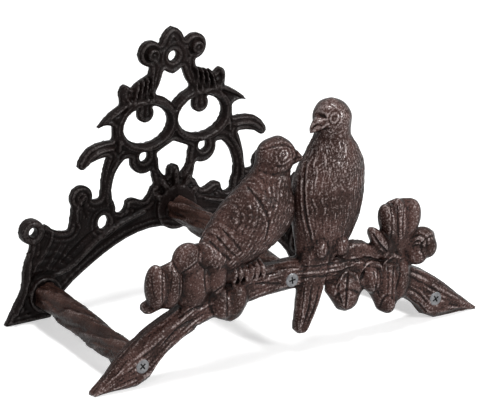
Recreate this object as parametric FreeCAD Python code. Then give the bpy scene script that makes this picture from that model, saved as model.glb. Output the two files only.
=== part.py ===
import FreeCAD, Part
import math
import os

# Cast wall hanger for a garden hose, in millimetres.
# A pierced scroll plate lies on the wall (y = 0), three bark-textured bars reach out of it,
# and an arched branch casting with two perched birds closes the front.
# It is drawn with z = 0 under its four feet and moved at the end, so that the origin
# is the centre of the top fixing hole on the wall plane.

# Plate on the wall
plate_thickness = 5.0
rib_height = 2.6
rib_top_share = 0.45
oval_sides = 20
round_cap = (-45, 0, 45)
top_hole_height = 167.0
top_hole_diameter = 7.4
side_hole_x = 112.0
side_hole_height = 63.5
side_hole_diameter = 7.0
hole_rim_diameter = 13.0
ear_diameter = 17.6
volute_diameter = 18.0
volute_x = 17.5
volute_height = 171.3
ring_centre_x = 21.7
ring_centre_height = 122.3
ring_opening_width = 36.0
ring_opening_height = 26.5
ring_width = 7.6
scroll_eye_x = 23.5
scroll_eye_height = 100.0
scroll_eye_diameter = 7.4
scroll_block_diameter = 21.0
small_oval_x = 56.0
small_oval_height = 59.5
small_oval_width = 8.6
small_oval_length = 10.0
side_curl_x = 72.8
side_curl_height = 79.8
side_curl_diameter = 17.0
foot_reach = 133.0

# Bars between the plate and the branch
bar_boss_height = 4.0
side_boss_rim = 3.0
centre_boss_rim = 7.0
side_bar_diameter = 18.5
side_bar_rear_x = 104.0
side_bar_rear_height = 18.3
side_bar_inset = 35.0
side_bar_front_height = 15.0
centre_bar_diameter = 17.0
centre_bar_rear_height = 61.0
centre_bar_front_height = 51.1
bar_ridge_depth = 1.3
bar_ridges = 7
bar_twist = 100.0
bar_stations = 9

# Branch in front
reach = 149.0
branch_depth = 17.0
branch_edge = 4.5
branch_half_length = 150.5
side_bar_front_x = branch_half_length - side_bar_inset
branch_tip_depth = 8.0
branch_centre_height = 19.5

# Birds and leaves
bird_plane = 8.0
bird_sides = 14
beak_lead = 2.0
beak_sides = 8
tail_depth = 8.0
toe_pitch = 4.2
toe_sides = 6
leaf_thickness = 9.0
leaf_stand_out = 2.0
leaf_sides = 15
stem_recess = 2.0

# Screws
screw_diameter = 5.0
screw_head_diameter = 9.5
screw_head_depth = 2.8
screw_sides = 24
front_screw_length = 30.0
rear_screw_length = 22.0
cross_width = 1.1
cross_span = 5.0
cross_depth = 1.6
rear_head_recess = 0.6
screw_clearance = 0.05
hole_play = 0.25


def point(x, z, y=0.0):
    return FreeCAD.Vector(x, y, z)


def curve_through(points):
    curve = Part.BSplineCurve()
    curve.interpolate(Points=[point(x, z) for x, z in points])
    return curve


def pad(face, depth, start=0.0):
    """Solid from a face in the wall plane, from y = -start out to y = -(start + depth)."""
    moved = face.copy()
    moved.translate(FreeCAD.Vector(0, -start, 0))
    return moved.extrude(FreeCAD.Vector(0, -depth, 0))


def closed_face(corners):
    return Part.Face(Part.makePolygon(corners + [corners[0]]))


def outline_face(*runs):
    """Face bounded by runs of points: a run of two points is a line, a longer one follows a curve."""
    corners = []
    for run in runs:
        if len(run) == 2:
            corners.append(point(*run[0]))
            continue
        curve = curve_through(run)
        steps = 2 * (len(run) - 1)
        span = curve.LastParameter - curve.FirstParameter
        corners += [curve.value(curve.FirstParameter + span * i / steps) for i in range(steps)]
    return closed_face(corners)


def oval_face(x, z, width, height):
    corners = []
    for i in range(oval_sides):
        angle = 2 * math.pi * i / oval_sides
        corners.append(point(x + width / 2 * math.cos(angle), z + height / 2 * math.sin(angle)))
    return closed_face(corners)


def knob(x, z, diameter, depth=plate_thickness, start=0.0):
    """Flat-sided round pad, where a true cylinder isn't needed."""
    return pad(oval_face(x, z, diameter, diameter), depth, start)


def disc(x, z, diameter, depth, start=0.0):
    return Part.makeCylinder(diameter / 2, depth, point(x, z, -start), FreeCAD.Vector(0, -1, 0))


def mirrored(shape):
    return shape.mirror(FreeCAD.Vector(0, 0, 0), FreeCAD.Vector(1, 0, 0))


def on_both_sides(shapes):
    return list(shapes) + [mirrored(shape) for shape in shapes]


def joined(shapes):
    body = shapes[0].multiFuse(shapes[1:]).removeSplitter()
    return body.Solids[0] if len(body.Solids) == 1 else body


def stroke_corners(points, widths, share=1.0, cap_turns=(0,)):
    """Corners round a tapered stroke along a smooth curve; an end has one for each turn from its tip."""
    curve = curve_through(points)
    span = curve.LastParameter - curve.FirstParameter
    stations = 2 * len(points) - 1
    left, right, start_cap, end_cap = [], [], [], []
    for i in range(stations):
        along = i / (stations - 1)
        place = curve.value(curve.FirstParameter + span * along)
        heading = curve.tangent(curve.FirstParameter + span * along)[0]
        piece = along * (len(widths) - 1)
        k = min(int(piece), len(widths) - 2)
        half = share * (widths[k] + (widths[k + 1] - widths[k]) * (piece - k)) / 2
        side = FreeCAD.Vector(heading.z, 0, -heading.x) * half
        left.append(place + side)
        right.append(place - side)
        cap = [(heading * half * math.cos(math.radians(turn)), side * math.sin(math.radians(turn)))
               for turn in cap_turns]
        if i == 0:
            start_cap = [place - out + across for out, across in cap]
        if i == stations - 1:
            end_cap = [place + out - across for out, across in cap]
    return start_cap + left + end_cap + right[::-1]


def stroke(points, widths):
    """Flat tapered stroke with rounded ends that lies on the wall."""
    return pad(closed_face(stroke_corners(points, widths, cap_turns=round_cap)), plate_thickness)


def lofted_stroke(points, widths, levels, cap_turns=(0,)):
    """Stroke through (share of the width, y) levels, with flat sides."""
    rings = []
    for share, y in levels:
        corners = stroke_corners(points, widths, share, cap_turns)
        rings.append([corner + FreeCAD.Vector(0, y, 0) for corner in corners])
    return faceted_body(rings)


def faceted_body(rings):
    """Solid between rings of corners, with flat triangles from ring to ring and flat ends."""
    faces = []
    for near, far in zip(rings, rings[1:]):
        count = len(near)
        for i in range(count):
            j = (i + 1) % count
            for corners in ((near[i], near[j], far[j]), (near[i], far[j], far[i])):
                faces.append(closed_face(list(corners)))
    for end_ring in (rings[0], rings[-1]):
        faces.append(closed_face(end_ring))
    shell = Part.makeShell(faces)
    shell.sewShape()
    body = Part.makeSolid(shell)
    if body.Volume < 0:
        body.reverse()
    return body


def rib(points, widths, height=rib_height):
    """Raised rib with leaning sides that stands on the plate's face."""
    levels = [(1.0, -plate_thickness / 2), (rib_top_share, -plate_thickness - height)]
    return lofted_stroke(points, widths, levels)


def crest():
    """Lily with two volutes round the top hole, and the neck under it."""
    hole_z = top_hole_height
    petal = outline_face(
        [(-6, hole_z), (-9, hole_z + 11.5), (-6, hole_z + 17), (0, hole_z + 20.5)],
        [(0, hole_z + 20.5), (6, hole_z + 17), (9, hole_z + 11.5), (6, hole_z)],
        [(6, hole_z), (-6, hole_z)])
    drop = outline_face(
        [(0, hole_z - 12.5), (6, hole_z - 9.5), (11, hole_z - 4)],
        [(11, hole_z - 4), (-11, hole_z - 4)],
        [(-11, hole_z - 4), (-6, hole_z - 9.5), (0, hole_z - 12.5)])
    side = [
        knob(volute_x, volute_height, volute_diameter),
        stroke([(volute_x - 5, volute_height - 5), (13, 157), (18.5, 146)], [12, 9.5, 10]),
    ]
    middle = [pad(petal, plate_thickness), pad(drop, plate_thickness),
              knob(0, hole_z, 2 * hole_rim_diameter - 6)]
    return middle + on_both_sides(side)


def mane():
    """Ridged wing that runs out of the neck into a hooked beak, on the right side."""
    wing = outline_face(
        [(13, 158.5), (19.5, 156), (26, 153.5), (31.5, 149.5)],
        [(31.5, 149.5), (34, 150.5), (37.5, 153), (40.7, 151), (41.8, 146), (41, 139)],
        [(41, 139), (48, 135.6), (54.3, 131), (59, 126)],
        [(59, 126), (53, 127.3), (47, 125)],
        [(47, 125), (14, 138)],
        [(14, 138), (13, 158.5)])
    return pad(wing, plate_thickness)


def ring():
    """Oval ring beside the centre line, before its opening is cut."""
    return pad(oval_face(ring_centre_x, ring_centre_height, ring_opening_width + 2 * ring_width,
                         ring_opening_height + 2 * ring_width), plate_thickness)


def ring_opening():
    inner = oval_face(ring_centre_x, ring_centre_height, ring_opening_width, ring_opening_height)
    return pad(inner, 4 * plate_thickness, -plate_thickness)


def ring_curl():
    """Curl that hangs from the ring's top into its opening."""
    top_z = ring_centre_height + ring_opening_height / 2
    return knob(ring_centre_x, top_z - 5.5, 12.5)


def side_scrolls():
    """Stem, horn, S-scroll, eye scroll and outer curl of the right side."""
    curl_foot = [(side_curl_x + 1.5, side_curl_height - 6), (75, 66), (76, 54)]
    outer_curl = [knob(side_curl_x, side_curl_height, side_curl_diameter),
                  stroke(curl_foot, [11, 12, 14])]
    return outer_curl + [
        stroke([(43, 131), (43, 118), (44, 106)], [9, 8.5, 11]),
        stroke([(44, 110), (55, 110.5), (65, 108.3), (71.5, 102.5)], [11, 11, 10.5, 7]),
        stroke([(44, 105), (50.5, 94), (53, 83), (53.5, 72), (54, 56)], [13, 9, 7.5, 11, 18]),
        stroke([(54, 68), (63, 68.5), (72, 68)], [16, 16, 14]),
        knob(scroll_eye_x, scroll_eye_height - 1.5, scroll_block_diameter),
        stroke([(22, 105), (33, 105), (43, 106)], [7, 8, 10]),
        stroke([(0, 111), (9, 107), (18, 103)], [7, 7, 8]),
        stroke([(16, 96), (14.5, 89), (11, 81)], [8, 5.5, 9]),
    ]


def lower_band():
    """Arched lower half of the right side, from the centre line to the foot and the ear."""
    face = outline_face(
        [(0, 46), (17, 48.5), (30, 47), (50, 40), (70, 29), (88, 16), (98, 0)],
        [(98, 0), (foot_reach, 0)],
        [(foot_reach, 0), (129.5, 6), (125, 14), (119.5, 24), (118.5, 33), (116.5, 42),
         (113, 50), (114, 60)],
        [(114, 60), (100, 66)],
        [(100, 66), (92, 60), (84, 58.5), (70, 62), (56, 66), (46, 65)],
        [(46, 65), (41.5, 63.5), (38.5, 66), (37.5, 70.5), (34, 72), (30, 71.5), (25, 69), (20, 71.5)],
        [(20, 71.5), (16, 78), (0, 78)],
        [(0, 78), (0, 46)])
    return pad(face, plate_thickness)


def palmette():
    """Shell on the centre line, with fanned ribs."""
    foot_z = centre_bar_rear_height + 2
    parts = []
    for turn, length in ((-62, 17), (-31, 21), (0, 23), (31, 21), (62, 17)):
        lean = math.radians(turn)
        tip = (length * math.sin(lean), foot_z + length * math.cos(lean))
        half = (tip[0] / 2, (foot_z + tip[1]) / 2)
        parts.append(stroke([(0, foot_z), half, tip], [5, 9, 9.5]))
        parts.append(rib([(0, foot_z), half, tip], [3.5, 6, 7], rib_height + 1.5))
    return parts


def ear():
    """Round ear with a raised rim round the side fixing hole, on the right side."""
    bridge = stroke([(98, 50), (104, 57), (side_hole_x, side_hole_height)], [16, 15, 15])
    rim = knob(side_hole_x, side_hole_height, hole_rim_diameter + 4, rib_height, plate_thickness)
    return [knob(side_hole_x, side_hole_height, ear_diameter), bridge, rim]


def bar_boss(side):
    """Raised round seat for a bar."""
    (x, z), _ = bar_ends[side]
    rim = centre_boss_rim if side == "centre" else side_boss_rim
    return disc(x, z, bar_diameters[side] + 2 * rim, plate_thickness + bar_boss_height)


def plate_ribs():
    """Raised lines of the right side."""
    mane_lines = []
    for i in range(4):
        low = (16 + 5.2 * i, 138.5 - 1.2 * i)
        high = (17.5 + 3.6 * i, 156.5 - 1.2 * i)
        middle = (low[0] / 2 + high[0] / 2 + 1.2, low[1] / 2 + high[1] / 2)
        mane_lines.append(rib([high, middle, low], [2, 2.8, 2.2]))
    return mane_lines + [
        rib([(31, 141), (42, 137), (55, 129.5)], [3.5, 4.5, 2]),
        rib([(37.5, 151), (38.5, 146), (36.5, 141)], [3.5, 3.5, 3]),
        rib([(43, 125), (43, 118), (44, 108)], [3, 4, 3]),
        rib([(49, 110.5), (59, 110.5), (70, 103)], [3.5, 5, 3.5]),
        rib([(45, 102), (51, 92), (53.5, 82), (53.5, 72)], [3, 4, 3.5, 3]),
        rib([(24, 62), (45, 56), (66, 46), (84, 33), (96, 30)], [3, 4.5, 5, 5, 3]),
        rib([(114.5, 49), (115, 38), (117, 26), (126, 8)], [2.5, 4, 4, 3]),
        rib([(97, 61), (101, 50), (108, 41), (112, 36)], [2.5, 4, 4, 2.5]),
        rib([(76, 60), (77.5, 73), (71, 81)], [3, 4, 3]),
    ]


def volute_knob():
    return knob(volute_x, volute_height, volute_diameter * 0.45, rib_height + 1.4, plate_thickness)


def ring_rib():
    """Raised line round the ring."""
    faces = [oval_face(ring_centre_x, ring_centre_height, ring_opening_width + share * ring_width,
                       ring_opening_height + share * ring_width) for share in (1.4, 0.5)]
    return pad(faces[0].cut(faces[1]), rib_height, plate_thickness)


def screw_hole(x, z, y, depth):
    """Clear hole for a screw's shank along y, from the plane y inwards."""
    radius = screw_diameter / 2 + hole_play
    return Part.makeCylinder(radius, depth, point(x, z, y), FreeCAD.Vector(0, 1, 0))


def screw_body(x, z, stations):
    """Body of a screw or of its seat through (y, radius) stations."""
    rings = []
    for y, radius in stations:
        corners = []
        for i in range(screw_sides):
            angle = 2 * math.pi * i / screw_sides
            corners.append(point(x + radius * math.cos(angle), z + radius * math.sin(angle), y))
        rings.append(corners)
    return faceted_body(rings)


def head_seat(x, z, y, direction, recess=0.0):
    """Countersink for a screw head that starts at the plane y and narrows along direction."""
    top = screw_head_diameter / 2 + screw_clearance
    low = screw_diameter / 2 + hole_play
    start = y + direction * recess
    stations = [(start, top), (start + direction * screw_head_depth, low)]
    if recess > 0:
        stations.insert(0, (y, top))
    return screw_body(x, z, stations)


bar_ends = {
    "left": ((-side_bar_rear_x, side_bar_rear_height), (-side_bar_front_x, side_bar_front_height)),
    "centre": ((0.0, centre_bar_rear_height), (0.0, centre_bar_front_height)),
    "right": ((side_bar_rear_x, side_bar_rear_height), (side_bar_front_x, side_bar_front_height)),
}
bar_diameters = {"left": side_bar_diameter, "centre": centre_bar_diameter, "right": side_bar_diameter}


def back_plate():
    half = [ring(), mane(), lower_band(), ring_curl()] + side_scrolls() + ear()
    base = crest() + on_both_sides(half) + palmette()
    relief = on_both_sides(plate_ribs() + [volute_knob(), ring_rib()])
    body = joined(base + relief + [bar_boss(side) for side in bar_ends])
    cut_depth = 4 * (plate_thickness + bar_boss_height)
    openings = ring_opening().cut(ring_curl())
    eye = disc(scroll_eye_x, scroll_eye_height, scroll_eye_diameter, cut_depth, -plate_thickness)
    oval = pad(oval_face(small_oval_x, small_oval_height, small_oval_width, small_oval_length),
               cut_depth, -plate_thickness)
    side_hole = disc(side_hole_x, side_hole_height, side_hole_diameter, cut_depth, -plate_thickness)
    cuts = on_both_sides([openings, eye, oval, side_hole])
    cuts.append(disc(0, top_hole_height, top_hole_diameter, cut_depth, -plate_thickness))
    for (x, z), _ in bar_ends.values():
        cuts.append(screw_hole(x, z, -cut_depth, 2 * cut_depth))
        cuts.append(head_seat(x, z, 0.0, -1, rear_head_recess))
    return body.cut(cuts)


def blend(table, x):
    """Value at x of a table of (x, value) pairs, on straight lines between them."""
    for (x0, v0), (x1, v1) in zip(table, table[1:]):
        if x <= x1:
            return v0 + (v1 - v0) * (x - x0) / (x1 - x0)
    return table[-1][1]


def branch_edges(x):
    """Lower and upper edge height of the branch at a distance x from the centre."""
    bar_x = side_bar_front_x
    bar_z = side_bar_front_height
    low_mid = centre_bar_front_height - 7.6
    top_mid = low_mid + branch_centre_height
    inner = bar_x - 21
    low = [(0, low_mid), (inner * 0.35, low_mid - 2), (inner * 0.58, low_mid - 6.8),
           (inner * 0.79, low_mid - 12.7), (inner, bar_z + 4.0), (bar_x - 12, bar_z - 3.5),
           (bar_x - 6, bar_z - 11.5), (bar_x + 2, 0.0), (branch_half_length, 0.0)]
    high = [(0, top_mid), (inner * 0.32, top_mid - 1), (inner * 0.61, top_mid - 6),
            (inner * 0.85, top_mid - 14.5), (inner, bar_z + 27), (bar_x - 8, bar_z + 21),
            (bar_x + 4, bar_z + 13), (bar_x + 14, bar_z + 5), (bar_x + 24, bar_z - 4),
            (branch_half_length, 1.5)]
    return blend(low, abs(x)), blend(high, abs(x))


def branch_section(x):
    """Eight-sided section of the branch at x; the branch gets thinner towards its tips."""
    low, high = branch_edges(x)
    bar_edge = side_bar_front_x + side_bar_diameter / 2
    depths = [(0, branch_depth), (bar_edge, branch_depth), (branch_half_length, branch_tip_depth)]
    depth = blend(depths, abs(x))
    back = -reach + branch_depth - (branch_depth - depth) * 0.75
    front = back - depth
    edge = min(branch_edge, (high - low) * 0.3)
    corners = [(front, low + edge), (front, high - edge), (front + edge, high), (back - edge, high),
               (back, high - edge), (back, low + edge), (back - edge, low), (front + edge, low)]
    return [FreeCAD.Vector(x, y, z) for y, z in corners]


def branch():
    bar_x = side_bar_front_x
    half = [(bar_x - 21) * share for share in (0, 0.19, 0.38, 0.57, 0.74, 0.89, 1)]
    half += [bar_x - 12, bar_x - 6, bar_x + 2, bar_x + side_bar_diameter / 2, bar_x + 22, branch_half_length]
    stations = [-x for x in half[:0:-1]] + half
    return faceted_body([branch_section(x) for x in stations])


def ellipse_corners(centre, across, half_depth, sides):
    """Corners of an ellipse whose long half axis is the vector across."""
    corners = []
    for i in range(sides):
        angle = 2 * math.pi * i / sides
        depth = FreeCAD.Vector(0, -half_depth * math.sin(angle), 0)
        corners.append(centre + across * math.cos(angle) + depth)
    return corners


def bird_body(sections):
    """Head and body through sections, each from a point of the back to one of the belly."""
    rings = []
    for rear, belly, half_depth in sections:
        centre = (point(*rear) + point(*belly)) / 2
        centre.y = -reach + bird_plane
        across = (point(*belly) - point(*rear)) / 2
        rings.append(ellipse_corners(centre, across, half_depth, bird_sides))
    return faceted_body(rings)


def beak(stations):
    """Hooked beak through (x, z, half height, half depth) stations."""
    rings = []
    for x, z, half_height, half_depth in stations:
        centre = point(x, z, -reach + bird_plane - beak_lead)
        rings.append(ellipse_corners(centre, FreeCAD.Vector(0, 0, half_height), half_depth, beak_sides))
    return faceted_body(rings)


def tail_feathers(points, widths, front_gap):
    """Tail of long feathers, as a tapered stroke; its front is front_gap before the branch's."""
    front = -reach - front_gap
    levels = [(0.9, front + tail_depth), (1.0, front + tail_depth / 2), (0.7, front)]
    return lofted_stroke(points, widths, levels, round_cap)


def toe(x, z, lean):
    """One curved toe with its claw over the front of the branch, its knuckle at (x, z)."""
    rings = []
    for drop, out, radius in ((-5.0, -4.0, 1.6), (-1.0, 0.4, 2.1), (4.0, 1.2, 1.9), (9.0, -0.2, 0.9)):
        centre = point(x + lean * drop, z - drop, -reach - out)
        rings.append(ellipse_corners(centre, FreeCAD.Vector(radius, 0, 0), radius, toe_sides))
    return faceted_body(rings)


def foot(x, z):
    """Three toes side by side."""
    return [toe(x + step * toe_pitch, z - abs(step), 0.12 * step) for step in (-1, 0, 1)]


def left_bird():
    """Bird that leans to the right, head low, tail out to the left."""
    sections = [((-9, 149.2), (-4, 149.2), 2.5), ((-18, 145), (2.5, 144.2), 9.5),
                ((-21.5, 139), (6, 136), 12.5), ((-22.5, 132), (1, 125), 12),
                ((-27, 126), (2.5, 110), 13.5), ((-37, 118), (4, 96), 16),
                ((-48, 109.5), (-2, 85), 17), ((-57, 99.5), (-14, 76), 16),
                ((-64, 90), (-28, 69), 13), ((-69, 80), (-42, 64), 9)]
    bill = beak([(1, 134.5, 6.5, 6), (7, 133.8, 4.6, 3.6), (11.5, 131.8, 1.2, 1)])
    tail = tail_feathers([(-52, 78), (-72, 66), (-92, 55.5), (-106, 50.5)], [26, 19, 13, 9], -5)
    return [bird_body(sections), bill, tail] + foot(-41, 66) + foot(-28, 66)


def right_bird():
    """Upright bird, looking left, with its tail hanging in front of the branch."""
    sections = [((33.5, 168), (37, 168), 1.8), ((27, 164.6), (44, 164.6), 9),
                ((23.3, 157.5), (48.6, 157.5), 13), ((23.5, 150), (48.5, 150), 12.8),
                ((24, 143), (48.5, 143), 12.5), ((18.5, 133), (54.5, 133), 15),
                ((11.5, 123), (58.5, 123), 17), ((6.5, 111), (59.5, 111), 17.5),
                ((5.5, 98), (58.5, 98), 17), ((6.5, 85), (55.5, 85), 15),
                ((8, 73), (50, 73), 12), ((9, 62), (44, 62), 9)]
    bill = beak([(28, 153.5, 7, 6), (21.5, 152.5, 4.8, 4), (18, 149.8, 2.6, 2.2), (17.2, 147.6, 0.8, 0.8)])
    tail = tail_feathers([(20, 64), (16.5, 46), (12.5, 30), (8, 17)], [22, 22, 18, 11], 2)
    return [bird_body(sections), bill, tail] + foot(20, 70) + foot(36.5, 69)


def leaf(x, z, width, height, turn=0.0, depth=0.13):
    """Puffed leaf with three round lobes, standing out of the branch's front."""
    rings = []
    back = reach + leaf_stand_out - leaf_thickness
    lean = math.radians(turn)
    for share, level in ((0.94, 0.0), (1.0, 0.35), (0.84, 0.8), (0.45, 1.0)):
        corners = []
        for i in range(leaf_sides):
            angle = 2 * math.pi * i / leaf_sides
            radius = share * (1 + depth * math.cos(3 * angle)) / (1 + depth / 2)
            across = radius * math.sin(angle) * width / 2
            up = radius * math.cos(angle) * height / 2
            corners.append(point(x + across * math.cos(lean) - up * math.sin(lean),
                                 z + across * math.sin(lean) + up * math.cos(lean),
                                 -back - level * leaf_thickness))
        rings.append(corners)
    return faceted_body(rings)


def stem(points, widths):
    """Short stem that carries the leaves."""
    front = -reach - leaf_stand_out
    return lofted_stroke(points, widths, [(1.0, front + leaf_thickness), (0.7, front + stem_recess)])


def leaves():
    bar_x = side_bar_front_x
    left = [leaf(20 - bar_x, 65.5, 24, 34, 190), leaf(48.5 - bar_x, 70.5, 42, 46, 176),
            leaf(69.5 - bar_x, 45, 32, 28, 180)]
    right = [leaf(bar_x - 28, 73, 33, 42, 176), leaf(bar_x - 12.5, 54.5, 24, 29, -60),
             leaf(bar_x - 42, 62.5, 11, 21, 38), leaf(bar_x - 71, 34.5, 33, 29, 180, 0.18),
             leaf(bar_x - 39, 32.5, 36, 40, 184, 0.22)]
    stems = [stem([(bar_x - 23, 40), (bar_x - 28, 52), (bar_x - 28, 64)], [9, 7, 6]),
             stem([(bar_x - 33, 48), (bar_x - 37, 56), (bar_x - 42, 64)], [8, 6, 5]),
             stem([(bar_x - 72, 61), (bar_x - 60, 61), (bar_x - 46, 54)], [15, 12, 6]),
             stem([(35 - bar_x, 45), (43 - bar_x, 52), (49 - bar_x, 60)], [10, 8, 7])]
    return left + right + stems


def branch_front():
    body = joined([branch()] + left_bird() + right_bird() + leaves())
    cuts = []
    for _, (x, z) in bar_ends.values():
        cuts.append(screw_hole(x, z, -reach, branch_depth))
        cuts.append(head_seat(x, z, -reach, 1))
    return body.cut(cuts)


def bar_corners(x, z, y, diameter, turn):
    """Corners of a bar's ridged section in a plane parallel to the wall."""
    corners = []
    for i in range(2 * bar_ridges):
        angle = math.pi * i / bar_ridges + math.radians(turn)
        radius = diameter / 2 - (bar_ridge_depth if i % 2 else 0)
        corners.append(point(x + radius * math.cos(angle), z + radius * math.sin(angle), y))
    return corners


def bar(side):
    """Bark-ridged bar with a blind screw bore in each end."""
    (rear_x, rear_z), (front_x, front_z) = bar_ends[side]
    rear_y = -plate_thickness - bar_boss_height
    front_y = -reach + branch_depth
    rings = []
    for i in range(bar_stations):
        t = i / (bar_stations - 1)
        rings.append(bar_corners(rear_x + (front_x - rear_x) * t, rear_z + (front_z - rear_z) * t,
                                 rear_y + (front_y - rear_y) * t, bar_diameters[side], bar_twist * t))
    body = faceted_body(rings)
    radius = screw_diameter / 2 + screw_clearance
    front_depth = front_screw_length - branch_depth + screw_clearance
    rear_depth = rear_screw_length + rear_head_recess + rear_y + screw_clearance
    front_bore = Part.makeCylinder(radius, front_depth, point(front_x, front_z, front_y),
                                   FreeCAD.Vector(0, 1, 0))
    rear_bore = Part.makeCylinder(radius, rear_depth, point(rear_x, rear_z, rear_y),
                                  FreeCAD.Vector(0, -1, 0))
    return body.cut([front_bore, rear_bore])


def screw(x, z, y, direction, length):
    """Countersunk screw with a cross recess; its head's face is at y and it points along direction."""
    shank = screw_diameter / 2
    body = screw_body(x, z, [(y, screw_head_diameter / 2), (y + direction * screw_head_depth, shank),
                             (y + direction * length, shank)])
    arms = []
    for width, height in ((cross_span, cross_width), (cross_width, cross_span)):
        arm = Part.makeBox(width, 2 * cross_depth, height)
        arm.translate(point(x - width / 2, z - height / 2, y - cross_depth))
        arms.append(arm)
    return body.cut(arms)


def main():
    os.makedirs("parts", exist_ok=True)
    nodes = {"back_plate": back_plate(), "branch_front": branch_front()}
    for side, ((rear_x, rear_z), (front_x, front_z)) in bar_ends.items():
        nodes["bar_" + side] = bar(side)
        nodes["front_screw_" + side] = screw(front_x, front_z, -reach, 1, front_screw_length)
        nodes["rear_screw_" + side] = screw(rear_x, rear_z, -rear_head_recess, -1, rear_screw_length)
    for name, shape in nodes.items():
        shape.translate(FreeCAD.Vector(0, 0, -top_hole_height))
        shape.exportStep("parts/" + name + ".step")
        box = shape.BoundBox
        print(name, len(shape.Solids), shape.isValid(), round(shape.Volume),
              [round(v, 1) for v in (box.XMin, box.XMax, box.YMin, box.YMax, box.ZMin, box.ZMax)])


main()
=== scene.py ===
import math
import bmesh
import bpy
import numpy as np
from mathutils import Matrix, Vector
from mathutils.kdtree import KDTree


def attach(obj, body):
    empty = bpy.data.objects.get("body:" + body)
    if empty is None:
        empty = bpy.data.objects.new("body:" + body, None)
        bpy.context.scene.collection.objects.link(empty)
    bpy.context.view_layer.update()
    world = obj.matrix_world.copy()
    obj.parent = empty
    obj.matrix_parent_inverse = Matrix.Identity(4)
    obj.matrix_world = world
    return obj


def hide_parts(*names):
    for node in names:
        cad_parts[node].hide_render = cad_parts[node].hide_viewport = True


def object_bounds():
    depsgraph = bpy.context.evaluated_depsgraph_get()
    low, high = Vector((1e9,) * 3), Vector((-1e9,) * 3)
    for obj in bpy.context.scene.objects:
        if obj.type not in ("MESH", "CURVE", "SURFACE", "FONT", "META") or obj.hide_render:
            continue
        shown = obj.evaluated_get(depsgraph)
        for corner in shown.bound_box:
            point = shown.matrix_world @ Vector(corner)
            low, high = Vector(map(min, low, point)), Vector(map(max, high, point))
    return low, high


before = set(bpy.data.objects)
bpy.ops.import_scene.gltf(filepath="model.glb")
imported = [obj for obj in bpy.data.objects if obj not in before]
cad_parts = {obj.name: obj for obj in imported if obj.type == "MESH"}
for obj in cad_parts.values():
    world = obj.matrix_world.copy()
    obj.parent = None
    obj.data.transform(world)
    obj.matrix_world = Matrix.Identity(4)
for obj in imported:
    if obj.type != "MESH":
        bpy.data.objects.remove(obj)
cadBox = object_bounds()
print("frame loaded")

# Lengths are in millimetres where no note says metres, and become metres where a mesh is written
# Heights (z) are measured from the feet, and the frame's origin is at the top fixing hole
metre = 1000.0
feetHeight = -167.0
weldGap = 1e-6  # in metres
tiny = 1e-9  # keeps a divisor away from 0


# Points, curves and closed bodies
def toFrame(points):
    return (np.asarray(points, dtype=float) + (0, 0, feetHeight)) / metre


def fromFrame(points):
    return np.asarray(points, dtype=float) * metre - (0, 0, feetHeight)


# Keeps points inside the box of the whole object
def keepInside(points):
    return np.clip(points, fromFrame(cadBox[0]), fromFrame(cadBox[1]))


# Rows on a smooth curve through the given rows, with this many steps from one to the next
def smoothRows(rows, steps):
    rows = np.asarray(rows, dtype=float)
    padded = np.vstack([2 * rows[0] - rows[1], rows, 2 * rows[-1] - rows[-2]])
    result = []
    for i in range(len(rows) - 1):
        a, b, c, d = padded[i:i + 4]
        for step in range(steps):
            t = step / steps
            result.append(0.5 * (2 * b + (c - a) * t + (2 * a - 5 * b + 4 * c - d) * t ** 2
                                 + (3 * b - a - 3 * c + d) * t ** 3))
    result.append(rows[-1])
    return np.array(result)


# Adds a closed body through rings of points, each end closed by a fan
def addLoft(bm, rings):
    loops = [[bm.verts.new(p) for p in toFrame(ring)] for ring in rings]
    count = len(loops[0])
    for near, far in zip(loops, loops[1:]):
        for i in range(count):
            j = (i + 1) % count
            bm.faces.new((near[i], near[j], far[j], far[i]))
    for loop in (loops[0], loops[-1]):
        centre = bm.verts.new(sum((v.co for v in loop), Vector()) / count)
        for i in range(count):
            bm.faces.new((loop[i], loop[(i + 1) % count], centre))


# Points of an ellipse with the half axis across, and the half axis depth along y
def ellipseRing(centre, across, depth, sides):
    turn = np.linspace(0, 2 * math.pi, sides, endpoint=False)[:, None]
    return centre + np.cos(turn) * np.asarray(across) + np.sin(turn) * np.array([0, -depth, 0])


# Adds an ellipsoid with half sizes (x, y, z), turned in the wall plane by some degrees
def addEllipsoid(bm, centre, halfSize, turn, sides=28, rounds=14):
    lean = math.radians(turn)
    up = np.array([-math.sin(lean), 0, math.cos(lean)])
    across = np.array([math.cos(lean), 0, math.sin(lean)])
    steepest = math.pi / 2 * 0.97  # the last ring stops just short of the pole
    rings = []
    for angle in np.linspace(-steepest, steepest, rounds):
        middle = np.asarray(centre) + up * halfSize[2] * math.sin(angle)
        rings.append(ellipseRing(middle, across * halfSize[0] * math.cos(angle),
                                 halfSize[1] * math.cos(angle), sides))
    addLoft(bm, rings)


# Castings: one closed skin round a copy of a node's mesh and the fuller bodies that addForms adds
def castSkin(name, node, voxel, addForms=None):
    bm = bmesh.new()
    bm.from_mesh(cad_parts[node].data)
    bmesh.ops.remove_doubles(bm, verts=bm.verts, dist=weldGap)
    if addForms:
        extra = bmesh.new()
        addForms(extra)
        bmesh.ops.recalc_face_normals(extra, faces=extra.faces)
        extraMesh = bpy.data.meshes.new(name + "Forms")
        extra.to_mesh(extraMesh)
        extra.free()
        bm.from_mesh(extraMesh)
    rough = bpy.data.meshes.new(name + "Rough")
    bm.to_mesh(rough)
    bm.free()
    holder = bpy.data.objects.new(name + "Rough", rough)
    bpy.context.scene.collection.objects.link(holder)
    remesh = holder.modifiers.new("skin", "REMESH")
    remesh.mode = "VOXEL"
    remesh.voxel_size = voxel / metre
    depsgraph = bpy.context.evaluated_depsgraph_get()
    mesh = bpy.data.meshes.new_from_object(holder.evaluated_get(depsgraph))
    bpy.data.objects.remove(holder)
    mesh.name = name
    skin = bpy.data.objects.new(name, mesh)
    bpy.context.scene.collection.objects.link(skin)
    return skin


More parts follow.
